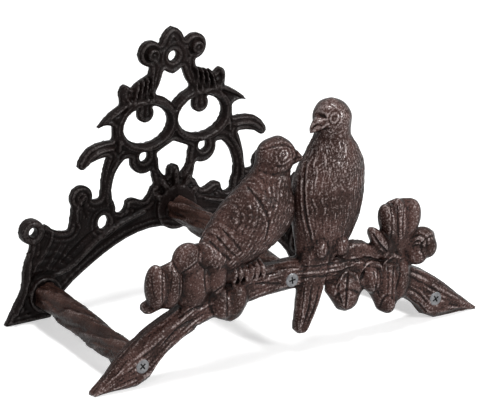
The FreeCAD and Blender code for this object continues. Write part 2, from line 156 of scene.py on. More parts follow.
def readVectors(mesh, field):
    values = np.empty(len(mesh.vertices) * 3)
    mesh.vertices.foreach_get(field, values)
    return values.reshape(-1, 3)


def readPoints(mesh):
    return fromFrame(readVectors(mesh, "co"))


def writePoints(mesh, points):
    mesh.vertices.foreach_set("co", toFrame(points).ravel())
    mesh.update()


def readEdges(mesh):
    edges = np.empty(len(mesh.edges) * 2, dtype=np.int32)
    mesh.edges.foreach_get("vertices", edges)
    return edges.reshape(-1, 2)


# Values moved towards the mean of their neighbours, some rounds over
def averaged(values, edges, rounds, share=0.6):
    count = len(values)
    ends = np.concatenate([edges[:, 0], edges[:, 1]])
    others = np.concatenate([edges[:, 1], edges[:, 0]])
    degree = np.maximum(np.bincount(ends, minlength=count), 1)
    for _ in range(rounds):
        mean = np.stack([np.bincount(ends, weights=values[others, k], minlength=count) / degree
                         for k in range(values.shape[1])], axis=1)
        values = values + share * (mean - values)
    return values


# Rounds the skin's edges and keeps its size, by a step in and a slightly longer step out
def keptSize(points, edges, rounds, stepIn=0.6, stepOut=-0.62):
    for _ in range(rounds):
        points = averaged(averaged(points, edges, 1, stepIn), edges, 1, stepOut)
    return points


def storeValue(mesh, name, values):
    layer = mesh.attributes.new(name, "FLOAT", "POINT")
    layer.data.foreach_set("value", np.asarray(values, dtype=np.float32))


# Stores how far each point stands out of the smoothed skin, raised where a painted sheen is given, and how
# deep it lies in a broad hollow, which the finish darkens as painted shade
def storeRelief(mesh, points, edges, look, sheen=0.0):
    normals = readVectors(mesh, "normal")
    near = averaged(points, edges, look["reliefReach"])
    far = averaged(near, edges, look["hollowReach"])
    fine = np.sum((points - near) * normals, axis=1) / look["reliefScale"]
    broad = np.sum((near - far) * normals, axis=1) / look["hollowScale"]
    storeValue(mesh, "relief", np.clip(fine, -1, 1) + sheen)
    storeValue(mesh, "hollow", np.clip(-broad, 0, 1))


# The photograph is seen along a slanted line, so drawn lines are placed in a slanted view
viewSlideX = 0.65  # shift to the right for each millimetre nearer to the camera
viewSlideZ = 0.41  # shift downwards for the same
seenPlane = -142.0  # the upright plane against which the branch's lines and lobes are drawn


# Places of points as they are seen against an upright plane, slid along the line of sight
def seenAt(points, plane):
    nearer = plane - points[:, 1]
    return np.stack([points[:, 0] + viewSlideX * nearer, points[:, 2] - viewSlideZ * nearer], axis=1)


# The place at depth y that is seen at (u, v) against the plane seenPlane
def fromSeen(u, v, y):
    nearer = seenPlane - y
    return u - viewSlideX * nearer, y, v + viewSlideZ * nearer


# Distance of places from a smooth line, and how far along it they lie from 0 to 1
def lineDistance(places, line, reach):
    path = smoothRows(line, 6)
    low, high = path.min(axis=0) - reach, path.max(axis=0) + reach
    near = np.where(np.all((places > low) & (places < high), axis=1))[0]
    best = np.full(len(near), np.inf)
    along = np.zeros(len(near))
    lengths = np.linalg.norm(np.diff(path, axis=0), axis=1)
    starts = np.concatenate([[0], np.cumsum(lengths)])
    for i, (a, b) in enumerate(zip(path, path[1:])):
        t = np.clip(((places[near] - a) @ (b - a)) / max(lengths[i] ** 2, tiny), 0, 1)
        gap = np.linalg.norm(places[near] - (a + t[:, None] * (b - a)), axis=1)
        closer = gap < best
        best[closer] = gap[closer]
        along[closer] = (starts[i] + t[closer] * lengths[i]) / starts[-1]
    return near, best, along


# Sum of the bumps of lines, each given as (points, width, height), where a height below 0 is a groove
def drawnLines(places, lines, endWidth=0.35):
    total = np.zeros(len(places))
    for line, width, height in lines:
        near, gap, along = lineDistance(places, line, width)
        taper = np.clip(4 * along, 0, 1) * np.clip(4 * (1 - along), 0, 1)  # over a quarter at each end
        half = width / 2 * (endWidth + (1 - endWidth) * taper)
        total[near] += height * np.clip(1 - (gap / half) ** 2, 0, 1)
    return total


# Concentric rings round a centre, fading out at a radius
def ringsAround(places, centre, radius, pitch, height, squash=1.0):
    gap = np.linalg.norm((places - centre) * (1, squash), axis=1)
    fade = np.clip((radius - gap) / pitch, 0, 1)
    return height * fade * np.cos(2 * math.pi * gap / pitch)


# A repeatable value from 0 to 1 for each cell of a grid
def scattered(row, column, seed):
    value = np.sin(row * 12.9898 + column * 78.233 + seed * 37.719) * 43758.5453
    return value - np.floor(value)


# Short raised fibres side by side, like a casting's feathers or bark, from 0 to 1
def fibres(along, across, length, width, seed):
    row = np.floor(across / width)
    shifted = along / length + scattered(row, 0, seed)
    column = np.floor(shifted)
    wide = 1 - (2 * (across / width - row) - 1) ** 2
    long = 1 - np.abs(2 * (shifted - column) - 1) ** 3
    return wide * long * (0.35 + 0.65 * scattered(row, column, seed + 1))  # some fibres lie lower


def smoothStep(value, low, high):
    t = np.clip((value - low) / (high - low), 0, 1)
    return t * t * (3 - 2 * t)


# Gives a socket a fixed value, or links it where the value comes from another node
def feed(tree, socket, value):
    if isinstance(value, bpy.types.NodeSocket):
        tree.links.new(value, socket)
    elif value is not None:
        socket.default_value = value


def addNode(tree, kind, values):
    node = tree.nodes.new(kind)
    for key, value in values.items():
        feed(tree, node.inputs[key], value)
    return node


# A node group with named inputs, where None stands for a material, and the sockets at its two ends
def newGroup(name, treeKind, inputs, outputs):
    kinds = {float: "Float", tuple: "Vector", type(None): "Material"}
    group = bpy.data.node_groups.new(name, treeKind)
    for label, value in inputs.items():
        kind = "NodeSocket" + kinds[type(value)]
        socket = group.interface.new_socket(label, in_out="INPUT", socket_type=kind)
        if value is not None:
            socket.default_value = value
    for label, kind in outputs.items():
        group.interface.new_socket(label, in_out="OUTPUT", socket_type="NodeSocket" + kind)
    return group, group.nodes.new("NodeGroupInput").outputs, group.nodes.new("NodeGroupOutput").inputs


def mathNode(tree, operation, first, second=None):
    node = tree.nodes.new("ShaderNodeMath")
    node.operation = operation
    feed(tree, node.inputs[0], first)
    feed(tree, node.inputs[1], second)
    return node.outputs[0]


def noiseNode(tree, vector, scale, detail, roughness=0.5):
    return addNode(tree, "ShaderNodeTexNoise", {"Vector": vector, "Scale": scale, "Detail": detail,
                                                "Roughness": roughness}).outputs["Fac"]


def rangeNode(tree, value, low, high, toLow=0.0, toHigh=1.0):
    node = tree.nodes.new("ShaderNodeMapRange")
    node.interpolation_type = "SMOOTHSTEP"
    for label, number in (("Value", value), ("From Min", low), ("From Max", high), ("To Min", toLow),
                          ("To Max", toHigh)):
        feed(tree, node.inputs[label], number)
    return node.outputs["Result"]


def colourMix(tree, factor, first, second):
    node = tree.nodes.new("ShaderNodeMix")
    node.data_type = "RGBA"
    feed(tree, node.inputs["Factor"], factor)
    for socket, value in zip([s for s in node.inputs if s.type == "RGBA"], (first, second)):
        feed(tree, socket, value + (1.0,) if isinstance(value, tuple) else value)
    return [s for s in node.outputs if s.type == "RGBA"][0]


def groupNode(tree, group, values):
    node = tree.nodes.new("ShaderNodeGroup")
    node.node_tree = group
    for label, value in values.items():
        feed(tree, node.inputs[label], value)
    return node


def objectPlace(tree):
    return tree.nodes.new("ShaderNodeTexCoord").outputs["Object"]


# A value that the casting's mesh carries at each point
def storedValue(tree, name):
    node = tree.nodes.new("ShaderNodeAttribute")
    node.attribute_name = name
    return node.outputs["Fac"]


# Materials
grainLook = {"fineDetail": 4.0, "fineRoughness": 0.65, "fineShare": 0.6,
             "coarseScale": 0.22, "coarseDetail": 3.0, "coarseRoughness": 0.6, "coarseShare": 0.9}
speckleLook = {"detail": 2.0, "roughness": 0.6}


# Sand-cast grain: a bump normal and a value for the colour's unevenness
def makeCastGrain():
    group, given, result = newGroup(
        "castGrain", "ShaderNodeTree", {"Grain Size": 900.0, "Grain Strength": 0.35, "Grain Depth": 0.0005},
        {"Unevenness": "Float", "Normal": "Vector"})
    place = objectPlace(group)
    fine = noiseNode(group, place, given["Grain Size"], grainLook["fineDetail"], grainLook["fineRoughness"])
    coarseSize = mathNode(group, "MULTIPLY", given["Grain Size"], grainLook["coarseScale"])
    coarse = noiseNode(group, place, coarseSize, grainLook["coarseDetail"], grainLook["coarseRoughness"])
    height = mathNode(group, "ADD", mathNode(group, "MULTIPLY", fine, grainLook["fineShare"]),
                      mathNode(group, "MULTIPLY", coarse, grainLook["coarseShare"]))
    bump = addNode(group, "ShaderNodeBump", {"Height": height, "Strength": given["Grain Strength"],
                                             "Distance": given["Grain Depth"]})
    feed(group, result["Unevenness"], coarse)
    feed(group, result["Normal"], bump.outputs["Normal"])
    return group


# Masks for dry grey wear on what stands out, for rust in what lies deep and for painted shade in broad
# hollows
def makeWearRustAndShade():
    group, given, result = newGroup(
        "wearRustAndShade", "ShaderNodeTree", {"Wear From": 0.05, "Wear To": 0.7, "Rust From": -0.1, "Rust To": -0.7,
                                      "Speckle Size": 800.0, "Speckle Strength": 3.5},
        {"Wear": "Float", "Rust": "Float", "Hollow Shade": "Float"})
    speckle = noiseNode(group, objectPlace(group), given["Speckle Size"], speckleLook["detail"],
                        speckleLook["roughness"])
    spread = mathNode(group, "MULTIPLY", mathNode(group, "SUBTRACT", speckle, 0.5), given["Speckle Strength"])
    broken = mathNode(group, "ADD", storedValue(group, "relief"), spread)
    feed(group, result["Wear"], rangeNode(group, broken, given["Wear From"], given["Wear To"]))
    feed(group, result["Rust"], rangeNode(group, broken, given["Rust From"], given["Rust To"]))
    feed(group, result["Hollow Shade"], storedValue(group, "hollow"))
    return group


castGrain = makeCastGrain()
wearRustAndShade = makeWearRustAndShade()


# A material, its tree and the inputs of its shader
def newMaterial(name):
    material = bpy.data.materials.new(name)
    material.use_nodes = True
    return material, material.node_tree, material.node_tree.nodes["Principled BSDF"].inputs


# Antique finish on cast iron, with painted shade towards the outline and in broad hollows, from a dictionary
# of its colours and strengths
def ironMaterial(name, look):
    material, tree, shader = newMaterial(name)
    grain = groupNode(tree, castGrain, {"Grain Size": look["grainSize"], "Grain Depth": look["grainDepth"],
                                        "Grain Strength": look["grainStrength"]})
    wear = groupNode(tree, wearRustAndShade, {"Wear From": look["wearFrom"], "Wear To": look["wearTo"]})
    cloudy = noiseNode(tree, objectPlace(tree), look["patchSize"], look["patchDetail"])
    patches = rangeNode(tree, cloudy, look["patchFrom"], look["patchTo"])
    colour = colourMix(tree, patches, look["darkColour"], look["bodyColour"])
    # Rust darkens fine recesses and wear lightens what stands out; the broad hollows get painted shade in the
    # same dark colour as the rust
    for mask, share, tint in (("Rust", "rustShare", "rustAndShadeColour"), ("Wear", "wearShare", "wearColour"),
                              ("Hollow Shade", "hollowShadeShare", "rustAndShadeColour")):
        amount = mathNode(tree, "MULTIPLY", wear.outputs[mask], look[share])
        colour = colourMix(tree, amount, colour, look[tint])
    # Painted shade: the colour darkens towards the outline, where the surface turns away from the view, and
    # the coat is dimmed there too
    rim = addNode(tree, "ShaderNodeLayerWeight", {"Blend": look["rimBlend"]})
    edgeShade = rangeNode(tree, rim.outputs["Facing"], look["rimFrom"], look["rimTo"], 0.0, look["edgeShadeShare"])
    feed(tree, shader["Base Color"], colourMix(tree, edgeShade, colour, look["rustAndShadeColour"]))
    feed(tree, shader["Roughness"], rangeNode(tree, grain.outputs["Unevenness"], look["grainFrom"],
                                              look["grainTo"], look["roughLow"], look["roughHigh"]))
    feed(tree, shader["Normal"], grain.outputs["Normal"])
    # It shines only where it is rubbed and seen from the front
    sheen = rangeNode(tree, wear.outputs["Wear"], 0.0, 1.0, 0.0, look["shine"])
    deep = mathNode(tree, "MAXIMUM", wear.outputs["Hollow Shade"], wear.outputs["Rust"])
    for cover in (deep, edgeShade):
        sheen = mathNode(tree, "MULTIPLY", sheen, mathNode(tree, "SUBTRACT", 1.0, cover))
    feed(tree, shader["Coat Weight"], sheen)
    feed(tree, shader["Coat Roughness"], look["waxRough"])
    feed(tree, shader["Coat IOR"], look["waxIor"])
    feed(tree, shader["Specular IOR Level"], look["specular"])
    feed(tree, shader["Metallic"], look["metallic"])
    return material


castIron = {  # what the finishes of all castings share; grain depths below are in metres
    "patchSize": 60.0, "patchDetail": 4.0, "patchFrom": 0.35, "patchTo": 0.65,
    "grainSize": 560.0, "grainStrength": 1.0, "grainFrom": 0.3, "grainTo": 0.7,
    "rimBlend": 0.5, "rimFrom": 0.3, "rimTo": 0.85, "waxIor": 1.8, "metallic": 0.0,
}
branchIron = dict(
    castIron, darkColour=(0.023, 0.0105, 0.0080), bodyColour=(0.057, 0.0290, 0.0245),
    wearColour=(0.250, 0.182, 0.170), wearShare=0.8, wearFrom=0.1, wearTo=1.5,
    rustAndShadeColour=(0.005, 0.0025, 0.002), rustShare=0.95, hollowShadeShare=0.85, edgeShadeShare=0.85,
    grainDepth=0.0006, roughLow=0.26, roughHigh=0.40, specular=0.08, shine=0.9, waxRough=0.32)
# The plate's iron is made much darker than the branch's: painted shade for the plate lying behind the branch
plateIronShaded = dict(
    castIron, darkColour=(0.0065, 0.0040, 0.0037), bodyColour=(0.0130, 0.0082, 0.0076),
    wearColour=(0.050, 0.038, 0.035), wearShare=0.4, wearFrom=0.2, wearTo=1.3,
    rustAndShadeColour=(0.003, 0.0015, 0.001), rustShare=0.8, hollowShadeShare=0.7, edgeShadeShare=0.6,
    grainDepth=0.0004, roughLow=0.28, roughHigh=0.42, specular=0.06, shine=0.2, waxRough=0.36)
barIron = dict(
    branchIron, darkColour=(0.034, 0.016, 0.012), bodyColour=(0.068, 0.035, 0.028),
    wearFrom=0.2, wearShare=0.5, hollowShadeShare=0.4, rustShare=0.5, shine=0.5)
branchFinish = ironMaterial("antiqueBranchIron", branchIron)
plateShadedFinish = ironMaterial("plateIronPaintedShade", plateIronShaded)
barFinish = ironMaterial("antiqueBarIron", barIron)

steelLook = {"darkColour": (0.10, 0.10, 0.105), "lightColour": (0.17, 0.17, 0.175), "metallic": 0.7,
             "roughness": 0.42, "grainSize": 1500.0, "grainStrength": 0.15, "grainFrom": 0.3, "grainTo": 0.7,
             "recessShadeColour": (0.012, 0.012, 0.012), "recessRoughness": 0.7}


def steelMaterial():
    material, tree, shader = newMaterial("zincScrewSteel")
    grain = groupNode(tree, castGrain, {"Grain Size": steelLook["grainSize"],
                                        "Grain Strength": steelLook["grainStrength"]})
    patches = rangeNode(tree, grain.outputs["Unevenness"], steelLook["grainFrom"], steelLook["grainTo"])
    colour = colourMix(tree, patches, steelLook["darkColour"], steelLook["lightColour"])
    feed(tree, shader["Base Color"], colour)
    feed(tree, shader["Normal"], grain.outputs["Normal"])
    feed(tree, shader["Metallic"], steelLook["metallic"])
    feed(tree, shader["Roughness"], steelLook["roughness"])
    return material


# The walls of the screw's cross recess are near black: painted shade inside the recess
def recessShadeMaterial():
    material, tree, shader = newMaterial("screwRecessShade")
    feed(tree, shader["Base Color"], steelLook["recessShadeColour"] + (1.0,))
    feed(tree, shader["Roughness"], steelLook["recessRoughness"])
    return material


screwFinish = steelMaterial()
recessShadeFinish = recessShadeMaterial()
print("finishes made")


# Hands a piece over with its one finish
def finishPiece(piece, node, finish):
    piece.data.materials.clear()
    piece.data.materials.append(finish)
    piece.data.polygons.foreach_set("use_smooth", np.ones(len(piece.data.polygons), dtype=bool))
    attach(piece, "root")
    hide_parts(node)


# Branch casting with its two birds and its leaves
birdPlane = -141.0
leftBirdSections = [
    (-9, 149.2, -4, 149.2, 2.5), (-18, 145, 2.5, 144.2, 9.5), (-21.5, 139, 6, 136, 12.5),
    (-22.5, 132, 1, 125, 12), (-27, 126, 2.5, 110, 13.5), (-37, 118, 4, 96, 16),
    (-48, 109.5, -2, 85, 17), (-57, 99.5, -14, 76, 16), (-64, 90, -28, 69, 13), (-69, 80, -42, 64, 9)]
rightBirdSections = [
    (33.5, 168, 37, 168, 1.8), (27, 164.6, 44, 164.6, 9), (23.3, 157.5, 48.6, 157.5, 13),
    (23.5, 150, 48.5, 150, 12.8), (24, 143, 48.5, 143, 12.5), (18.5, 133, 54.5, 133, 15),
    (11.5, 123, 58.5, 123, 17), (6.5, 111, 59.5, 111, 17.5), (5.5, 98, 58.5, 98, 17),
    (6.5, 85, 55.5, 85, 15), (8, 73, 50, 73, 12), (9, 62, 44, 62, 9)]
branchLow = [(0, 43.5), (33, 41.5), (54.8, 36.7), (74.7, 30.8), (94.5, 19), (103.5, 11.5), (109.5, 3.5),
             (117.5, 0), (150.5, 0)]
branchHigh = [(0, 63), (30.2, 62), (57.6, 57), (80.3, 48.5), (94.5, 42), (107.5, 36), (119.5, 28),
              (129.5, 20), (139.5, 11), (150.5, 1.5)]

branchLook = {
    "voxel": 0.92, "rounds": 4, "leafRounds": 7, "reliefReach": 7, "hollowReach": 30,
    "reliefScale": 0.42, "hollowScale": 0.9,
    "lobePlane": -147.0, "lobeDepth": 7.6, "webPlane": -144.5, "webDepth": 5.5,
    "footPlane": -149.5, "footDepth": 6.4,
    "featherHeight": 1.0, "featherMiddle": 0.3, "plumageGrow": 3.5, "birdGrow": 3.0,
    "eyeHeight": 0.26, "eyePitch": 2.9,
    "barkHeight": 0.95, "barkMiddle": 0.35, "barkLength": 26.0, "barkWidth": 2.5, "barkRows": 18.0,
    "barkFrontFrom": 149.6, "barkFrontTo": 150.4,
    "creaseDepth": 0.9, "creaseWidth": 0.2, "creaseFrom": 146.0, "creaseTo": 149.0,
    "paintedBirdSheen": 0.3, "darkerBelow": 0.12, "sheenFrom": 66.0, "sheenTo": 84.0,
}
rightPlumage = {
    "lowest": 64.0, "highest": 146.0, "fade": 8.0, "girth": 24.0, "axisX": 33.0, "axisZ": 100.0, "lean": 0.05,
    "wingFrom": 13.5, "wingTo": 17.0, "breastShare": 0.25,
    "layers": [(0.65, 0.12, 0.0, 18, 2.7, 3), (0.35, -0.2, 0.7, 7, 1.9, 11)],
}
leftPlumage = {
    "lowest": 62.0, "highest": 130.0, "fade": 6.0, "axis": (-0.55, -0.835), "roundBody": 0.5, "slant": 0.15,
    "layers": [(0.65, 0.25, 0.0, 8, 3.0, 8), (0.35, -0.3, 0.9, 5, 1.9, 17)],
}
eyes = [((36.8, 154), 7.6, 0.9), ((-2.6, 136), 7.4, 0.95)]  # centre (u, v), radius, squash
leafLobes = [  # middle (u, v), half width, half height, turn in degrees
    (-101, 64.5, 7.6, 15.4, 0), (-89.5, 64, 8, 15.6, 0),
    (-77, 79.5, 11, 10.4, 20), (-58, 76.5, 11.4, 9.4, -24), (-71.5, 61, 11.4, 16.6, 0),
    (-56.5, 62.5, 9, 12, 0), (-51, 43.5, 8, 11.6, 8), (-40.6, 44, 8.6, 12, -16),
    (79.8, 75, 5.8, 12.6, 10), (87.6, 73.5, 7, 16.4, 0),
    (97.8, 74, 7.6, 13.2, -14), (107.5, 58.4, 9.6, 7.2, 0), (112, 51.5, 7, 8.6, 0),
    (103.6, 47.5, 7.8, 7.6, 0), (72.4, 63.5, 4.6, 11.2, 33), (47.6, 36.5, 13.4, 9.4, 0),
    (47.4, 29, 9, 10.2, 0), (66.5, 37, 7, 10.4, 14), (79, 31, 8.6, 17, 0),
    (89.6, 32, 7.4, 14.6, -10), (80, 18, 5.4, 8, 0)]
webLobes = [  # what closes the gaps beside the leaves
    (-80, 53.5, 6, 6, 0), (-47, 62.5, 6, 6, 0), (76.8, 53.3, 4.5, 4.5, 0)]
footLobes = [(25.6, 66.5, 5.6, 7.6, 0), (42, 66, 6.2, 7.8, 0)]
headLines = [
    ([(18.5, 149.2), (22.5, 151.8), (27.5, 150.6)], 1.8, -1.4),
    ([(21.5, 159.5), (26, 158.2), (30, 155.5)], 4, -1.6),
    ([(22, 163), (29, 163), (35, 161.2)], 4, 0.8),
    ([(26, 148.2), (30, 150.6), (33, 151)], 2.2, 0.8),
    ([(24, 146.4), (28, 148), (33, 147.6)], 2, -0.8),
    ([(23, 154.5), (26, 153.8), (28.5, 154.8)], 2, 0.7),
    ([(4.5, 131.2), (8, 131.9), (11.5, 132.2)], 1.6, -1),
    ([(-20, 142.6), (-10, 143.6), (-1, 142.6), (4.5, 139)], 3, -0.9),
    ([(-9, 129.4), (-3, 128.2), (2, 130)], 2.4, -0.45),
    ([(-22, 129), (-12, 124.6), (-2, 123.5), (3, 125)], 4, -0.7),
    ([(3.2, 138.6), (4.8, 135.4), (4.4, 132.6)], 1.8, -0.8),
]
wingLines = [
    ([(20.5, 141), (14.8, 128), (13, 110), (14.5, 92), (19.5, 73)], 3.4, -0.8),
    ([(16.2, 128), (14.6, 110), (16.4, 92), (21, 75)], 2.6, 0.45),
    ([(10.5, 122), (9.4, 106), (11, 90), (15, 74)], 2.2, -0.4),
    ([(-31, 120), (-20, 106), (-14, 92), (-17, 80)], 3, -0.8),
    ([(-60, 88), (-50, 78), (-43, 71)], 2.4, -0.9),
    ([(-55, 91), (-46, 80), (-39, 73)], 2.4, -0.9),
    ([(-50, 94), (-41, 84), (-35, 76)], 2.4, -0.8),
    ([(14, 42), (12.5, 28), (10, 14)], 2, -0.9),
    ([(20, 42), (18, 28), (13.5, 15)], 2, -0.9),
    ([(26, 40), (22, 26), (16, 15)], 1.8, -0.7),
]
leafLines = [
    ([(-104, 74), (-103.5, 66), (-101, 56)], 1.6, -0.4),
    ([(-88.5, 77), (-88.5, 68), (-90, 58)], 1.6, -0.4),
    ([(-58, 54), (-60, 45), (-56.5, 36)], 2.6, -0.8),
    ([(88.5, 56), (88.5, 70), (87.5, 84)], 2, -0.7),
    ([(99.5, 59), (106, 60.5), (111.5, 56), (112, 49)], 2.2, -1),
    ([(100.5, 55), (105, 56.2), (108, 52.6), (107, 47.5)], 2, -0.9),
    ([(67.5, 69), (73, 60), (80, 53)], 2.6, -1.3),
    ([(48.5, 45), (48, 34), (46.8, 21)], 2.6, -1.3),
    ([(39.5, 37), (46, 45.4), (54, 42.5), (57, 36)], 3, 1),
    ([(42, 41), (40.5, 33), (43.5, 25)], 2.6, -0.8),
    ([(80, 44), (81, 32), (80, 20)], 2, -0.6),
    ([(69, 42), (70.5, 33), (73.5, 24)], 2.2, -0.6),
    ([(90, 42), (90, 34), (87, 25)], 2.2, -0.6),
    ([(60.5, 45), (66, 48.8), (73, 46), (76, 41)], 3, 1.1),
    ([(77, 45), (84, 49.6), (91, 47)], 3, 1),
    ([(61, 31), (59.5, 38), (62, 45)], 3.2, -1.4),
]
barkLines = [
    ([(8, 52.5), (22, 50.4), (38, 49), (55, 50)], 2, 1),
    ([(10, 49), (26, 46.8), (40, 45)], 1.8, -0.9),
    ([(12, 56), (28, 54), (46, 53.5), (58, 51)], 1.8, -0.9),
    ([(-16, 57), (-6, 56), (2, 55.5)], 2.4, -0.9),
    ([(-26, 52), (-14, 50), (-2, 47)], 2, -0.9),
    ([(-84, 40), (-74, 43.6), (-64, 44.5)], 2.2, -1),
    ([(-96, 24), (-84, 33), (-70, 37)], 2.2, -1),
    ([(-73, 30.5), (-70, 31.5), (-67.5, 30.5)], 3, -1.3),
    ([(96, 34), (110, 25), (124, 15)], 2, -0.9),
    ([(100, 38), (114, 30), (128, 20)], 2, 0.8),
    ([(98, 25), (108, 17), (113, 9)], 2, -0.8),
]


def addBird(bm, sections, steps=5, sides=48):
    rings = []
    for rearX, rearZ, bellyX, bellyZ, depth in smoothRows(sections, steps):
        centre = np.array([(rearX + bellyX) / 2, birdPlane, (rearZ + bellyZ) / 2])
        across = np.array([bellyX - rearX, 0, bellyZ - rearZ]) / 2
        rings.append(ellipseRing(centre, across, depth, sides))
    addLoft(bm, rings)


def addBranchForms(bm):
    addBird(bm, leftBirdSections)
    addBird(bm, rightBirdSections)
    for lobes, kind in ((leafLobes, "lobe"), (webLobes, "web"), (footLobes, "foot")):
        plane, depth = branchLook[kind + "Plane"], branchLook[kind + "Depth"]
        for u, v, halfWidth, halfHeight, turn in lobes:
            addEllipsoid(bm, fromSeen(u, v, plane), (halfWidth, depth, halfHeight), turn)


def tableValue(table, x):
    xs, values = zip(*table)
    return np.interp(x, xs, values)


# How well places lie inside a bird's outline, 1 inside and 0 outside
def insideSections(places, sections, grow, fade=2.0):
    inside = np.zeros(len(places))
    for row in smoothRows(sections, 4):
        a, b = row[0:2], row[2:4]
        t = np.clip(((places - a) @ (b - a)) / max((b - a) @ (b - a), tiny), 0, 1)
        gap = np.linalg.norm(places - (a + t[:, None] * (b - a)), axis=1)
        inside = np.maximum(inside, smoothStep(grow - gap, 0, fade))
    return inside


# How near places are to the leaves, 1 on a leaf and 0 away from it
def nearLobes(seen, margin=4.0):
    near = np.zeros(len(seen))
    for u, v, halfWidth, halfHeight, _ in leafLobes:
        gap = np.linalg.norm((seen - (u, v)) / (halfWidth + margin, halfHeight + margin), axis=1)
        near = np.maximum(near, 1 - smoothStep(gap, 0.85, 1.1))
    return near


# Grooves where two lobes of a leaf meet, from 0 to 1
def lobeCreases(seen):
    first, second = np.full(len(seen), -1.0), np.full(len(seen), -1.0)
    for u, v, halfWidth, halfHeight, turn in leafLobes + footLobes:
        cosine, sine = math.cos(math.radians(turn)), math.sin(math.radians(turn))
        aside = (seen - (u, v)) @ np.array([[cosine, -sine], [sine, cosine]])
        cover = 1 - ((aside / (halfWidth, halfHeight)) ** 2).sum(axis=1)
        second = np.maximum(second, np.minimum(first, cover))
        first = np.maximum(first, cover)
    meeting = np.exp(-((first - second) / branchLook["creaseWidth"]) ** 2)
    return meeting * smoothStep(second, -0.25, 0.1)  # only where the second lobe reaches too


# Layers of feathers over the body, each given as (share, slant, shift, length, width, seed)
def featherLayers(along, across, wavering, layers):
    total = sum(share * fibres(along + slant * across, wavering + shift, length, width, seed)
                for share, slant, shift, length, width, seed in layers)
    return branchLook["featherHeight"] * (total - branchLook["featherMiddle"])


# Long feathers round the upright bird's axis, lower on its breast than on its wing
def rightFeathers(points, seen):
    look = rightPlumage
    x, y, z = points.T
    swing = x - look["axisX"] + look["lean"] * (z - look["axisZ"])
    around = np.arctan2(birdPlane - y, swing) * look["girth"]
    wavering = around + 0.7 * np.sin(z / 4.1 + around / 6) + 0.4 * np.sin(z / 1.9)
    wing = smoothStep(seen[:, 0], look["wingFrom"], look["wingTo"])
    feathers = featherLayers(z, around, wavering, look["layers"])
    feathers *= look["breastShare"] + (1 - look["breastShare"]) * wing
    return feathers * smoothStep(look["highest"] - z, 0, look["fade"])


# Short feathers along the leaning bird's body
def leftFeathers(points):
    look = leftPlumage
    flat, (alongX, alongZ) = points[:, [0, 2]], look["axis"]
    along = flat @ np.array([alongX, alongZ])
    across = flat @ np.array([-alongZ, alongX]) + look["roundBody"] * (points[:, 1] - birdPlane)
    wavering = across - look["slant"] * along + 0.5 * np.sin(along / 3.1)
    feathers = featherLayers(along, across, wavering, look["layers"])
    return feathers * smoothStep(look["highest"] - points[:, 2], 0, look["fade"])


# Bark on the arched branch itself, behind the leaves' fronts
def barkRelief(points, normals):
    x, y, z = points.T
    low, high = tableValue(branchLow, np.abs(x)), tableValue(branchHigh, np.abs(x))
    onBranch = smoothStep(z, low - 3, low) * (1 - smoothStep(z, high - 1, high + 2))
    onBranch *= 1 - smoothStep(-y, branchLook["barkFrontFrom"], branchLook["barkFrontTo"])
    share = (z - low) / np.maximum(high - low, 1)
    across = np.where(np.abs(normals[:, 1]) > 0.6, share * branchLook["barkRows"], y)
    bark = fibres(x + 3 * np.sin(across), across + 0.8 * np.sin(x / 9), branchLook["barkLength"],
                  branchLook["barkWidth"], 5)
    return onBranch * branchLook["barkHeight"] * (bark - branchLook["barkMiddle"])


# Height of feathers, eyes, leaf veins and bark over the smooth branch casting
def branchRelief(points, normals):
    seen = seenAt(points, seenPlane)
    facing = np.clip(-normals[:, 1] * 1.6 + 0.35 * normals[:, 2] + 0.2, 0, 1)  # 1 towards the camera
    flat = points[:, [0, 2]]
    grow = branchLook["plumageGrow"]
    right = insideSections(flat, rightBirdSections[4:], grow) * (points[:, 2] > rightPlumage["lowest"])
    left = insideSections(flat, leftBirdSections[3:], grow) * (points[:, 2] > leftPlumage["lowest"])
    left = left * (1 - right)
    birds = np.maximum(right, left)
    heads = np.maximum(insideSections(flat, rightBirdSections[:5], branchLook["birdGrow"]),
                       insideSections(flat, leftBirdSections[:4], branchLook["birdGrow"]))

    height = right * rightFeathers(points, seen) + left * leftFeathers(points)
    pitch, ringHeight = branchLook["eyePitch"], branchLook["eyeHeight"]
    for centre, radius, squash in eyes:
        height += facing * ringsAround(seen, centre, radius, pitch, ringHeight, squash)
    height += (1 - birds) * (1 - heads) * barkRelief(points, normals)
    height += facing * drawnLines(seen, headLines + wingLines + leafLines + barkLines)
    forward = smoothStep(-points[:, 1], branchLook["creaseFrom"], branchLook["creaseTo"])
    height -= forward * facing * (1 - birds) * branchLook["creaseDepth"] * lobeCreases(seen)
    return height


def makeBranch():
    skin = castSkin("branchCasting", "branch_front", branchLook["voxel"], addBranchForms)
    mesh = skin.data
    points, edges = readPoints(mesh), readEdges(mesh)
    points = keptSize(points, edges, branchLook["rounds"])
    leafy = nearLobes(seenAt(points, seenPlane))[:, None]
    points = points + leafy * (averaged(points, edges, branchLook["leafRounds"]) - points)
    writePoints(mesh, points)
    normals = readVectors(mesh, "normal")
    points = keepInside(points + normals * branchRelief(points, normals)[:, None])
    writePoints(mesh, points)
    # Painted highlight: the right bird's body gets a raised relief value, so more light wear colour and
    # shine, and the casting's lower part gets a lowered one, so it is darker towards the bottom
    height, start, end = points[:, 2], branchLook["sheenFrom"], branchLook["sheenTo"]
    onBird = insideSections(points[:, [0, 2]], rightBirdSections[:-4], branchLook["birdGrow"])
    onBird = onBird * smoothStep(height, start, end)
    sheen = branchLook["paintedBirdSheen"] * onBird - branchLook["darkerBelow"] * smoothStep(-height, -end, -start)
    storeRelief(mesh, points, edges, branchLook, sheen)
    finishPiece(skin, "branch_front", branchFinish)
    print("branch casting made with", 2 * len(mesh.polygons), "triangles")


